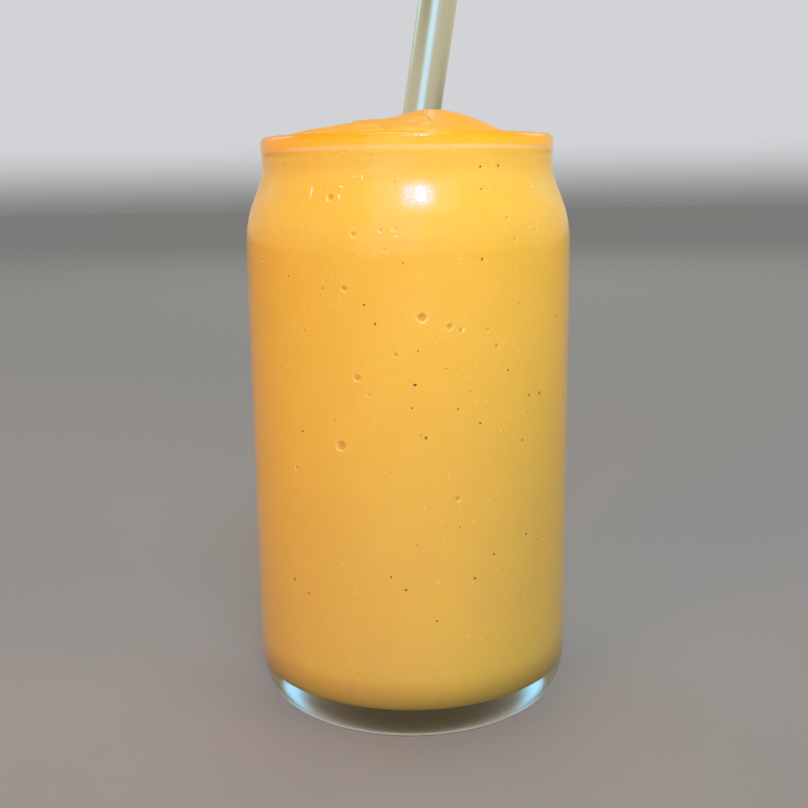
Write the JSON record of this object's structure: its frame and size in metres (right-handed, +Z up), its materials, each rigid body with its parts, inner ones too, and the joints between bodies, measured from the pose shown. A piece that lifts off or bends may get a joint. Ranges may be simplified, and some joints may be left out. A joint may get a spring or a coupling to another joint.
{
  "type": "mango smoothie in a glass",
  "caption": "Can-shaped clear glass filled with thick mango smoothie, heaped in soft folds above the rim, with a plain steel straw leaning in it.",
  "frame": {"origin": "centre of the glass's foot, on the surface it stands on", "axes": "+Z up along the glass's axis, +X to the right of the shown front, +Y to the back"},
  "size_m": [0.0762, 0.0762, 0.2239],
  "materials": {
    "glass": "clear smooth soda-lime glass with a thick base",
    "smoothie": "stands in for wet, opaque mango smoothie",
    "straw": "polished stainless steel tube"
  },
  "bodies": {
    "root": {"glass": "glass", "smoothie": "smoothie", "straw": "straw"}
  },
  "joints": []
}
